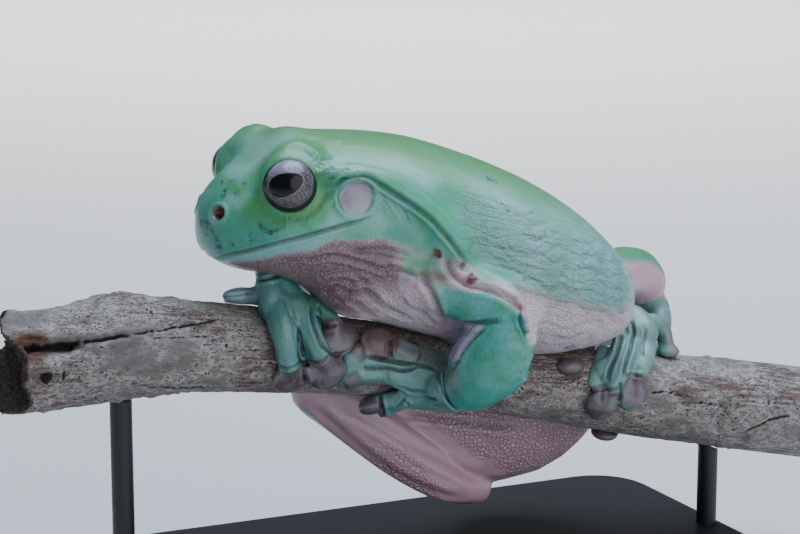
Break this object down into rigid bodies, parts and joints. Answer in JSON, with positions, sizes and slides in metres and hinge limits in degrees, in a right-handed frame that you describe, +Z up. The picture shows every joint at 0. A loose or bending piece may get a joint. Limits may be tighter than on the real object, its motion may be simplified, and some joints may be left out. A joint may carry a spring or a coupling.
{
  "type": "tree frog, still display model",
  "caption": "Life-size still model of a White's tree frog resting on a cut length of dead branch, held by a plain display stand.",
  "frame": {"origin": "centre of the stand base's underside, on the table", "axes": "+Z up, the branch runs along X and the frog faces -X, its left side towards -Y"},
  "size_m": [0.1533, 0.072, 0.0828],
  "materials": {
    "skin": "moist satin",
    "eyes": "wet gloss",
    "bark": "weathered matte",
    "stand": "satin black"
  },
  "bodies": {
    "root": {"head": "skin", "torso": "skin", "upper_arm_left": "skin", "upper_arm_right": "skin", "forearm_left": "skin", "forearm_right": "skin", "hand_left": "skin", "hand_right": "skin", "thigh_left": "skin", "thigh_right": "skin", "shank_left": "skin", "shank_right": "skin", "foot_left": "skin", "foot_right": "skin", "eye_left": "eyes", "eye_right": "eyes", "eardrum_left": "skin", "eardrum_right": "skin", "branch": "bark", "stand_base": "stand", "stand_rod_left": "stand", "stand_rod_right": "stand"}
  },
  "joints": []
}
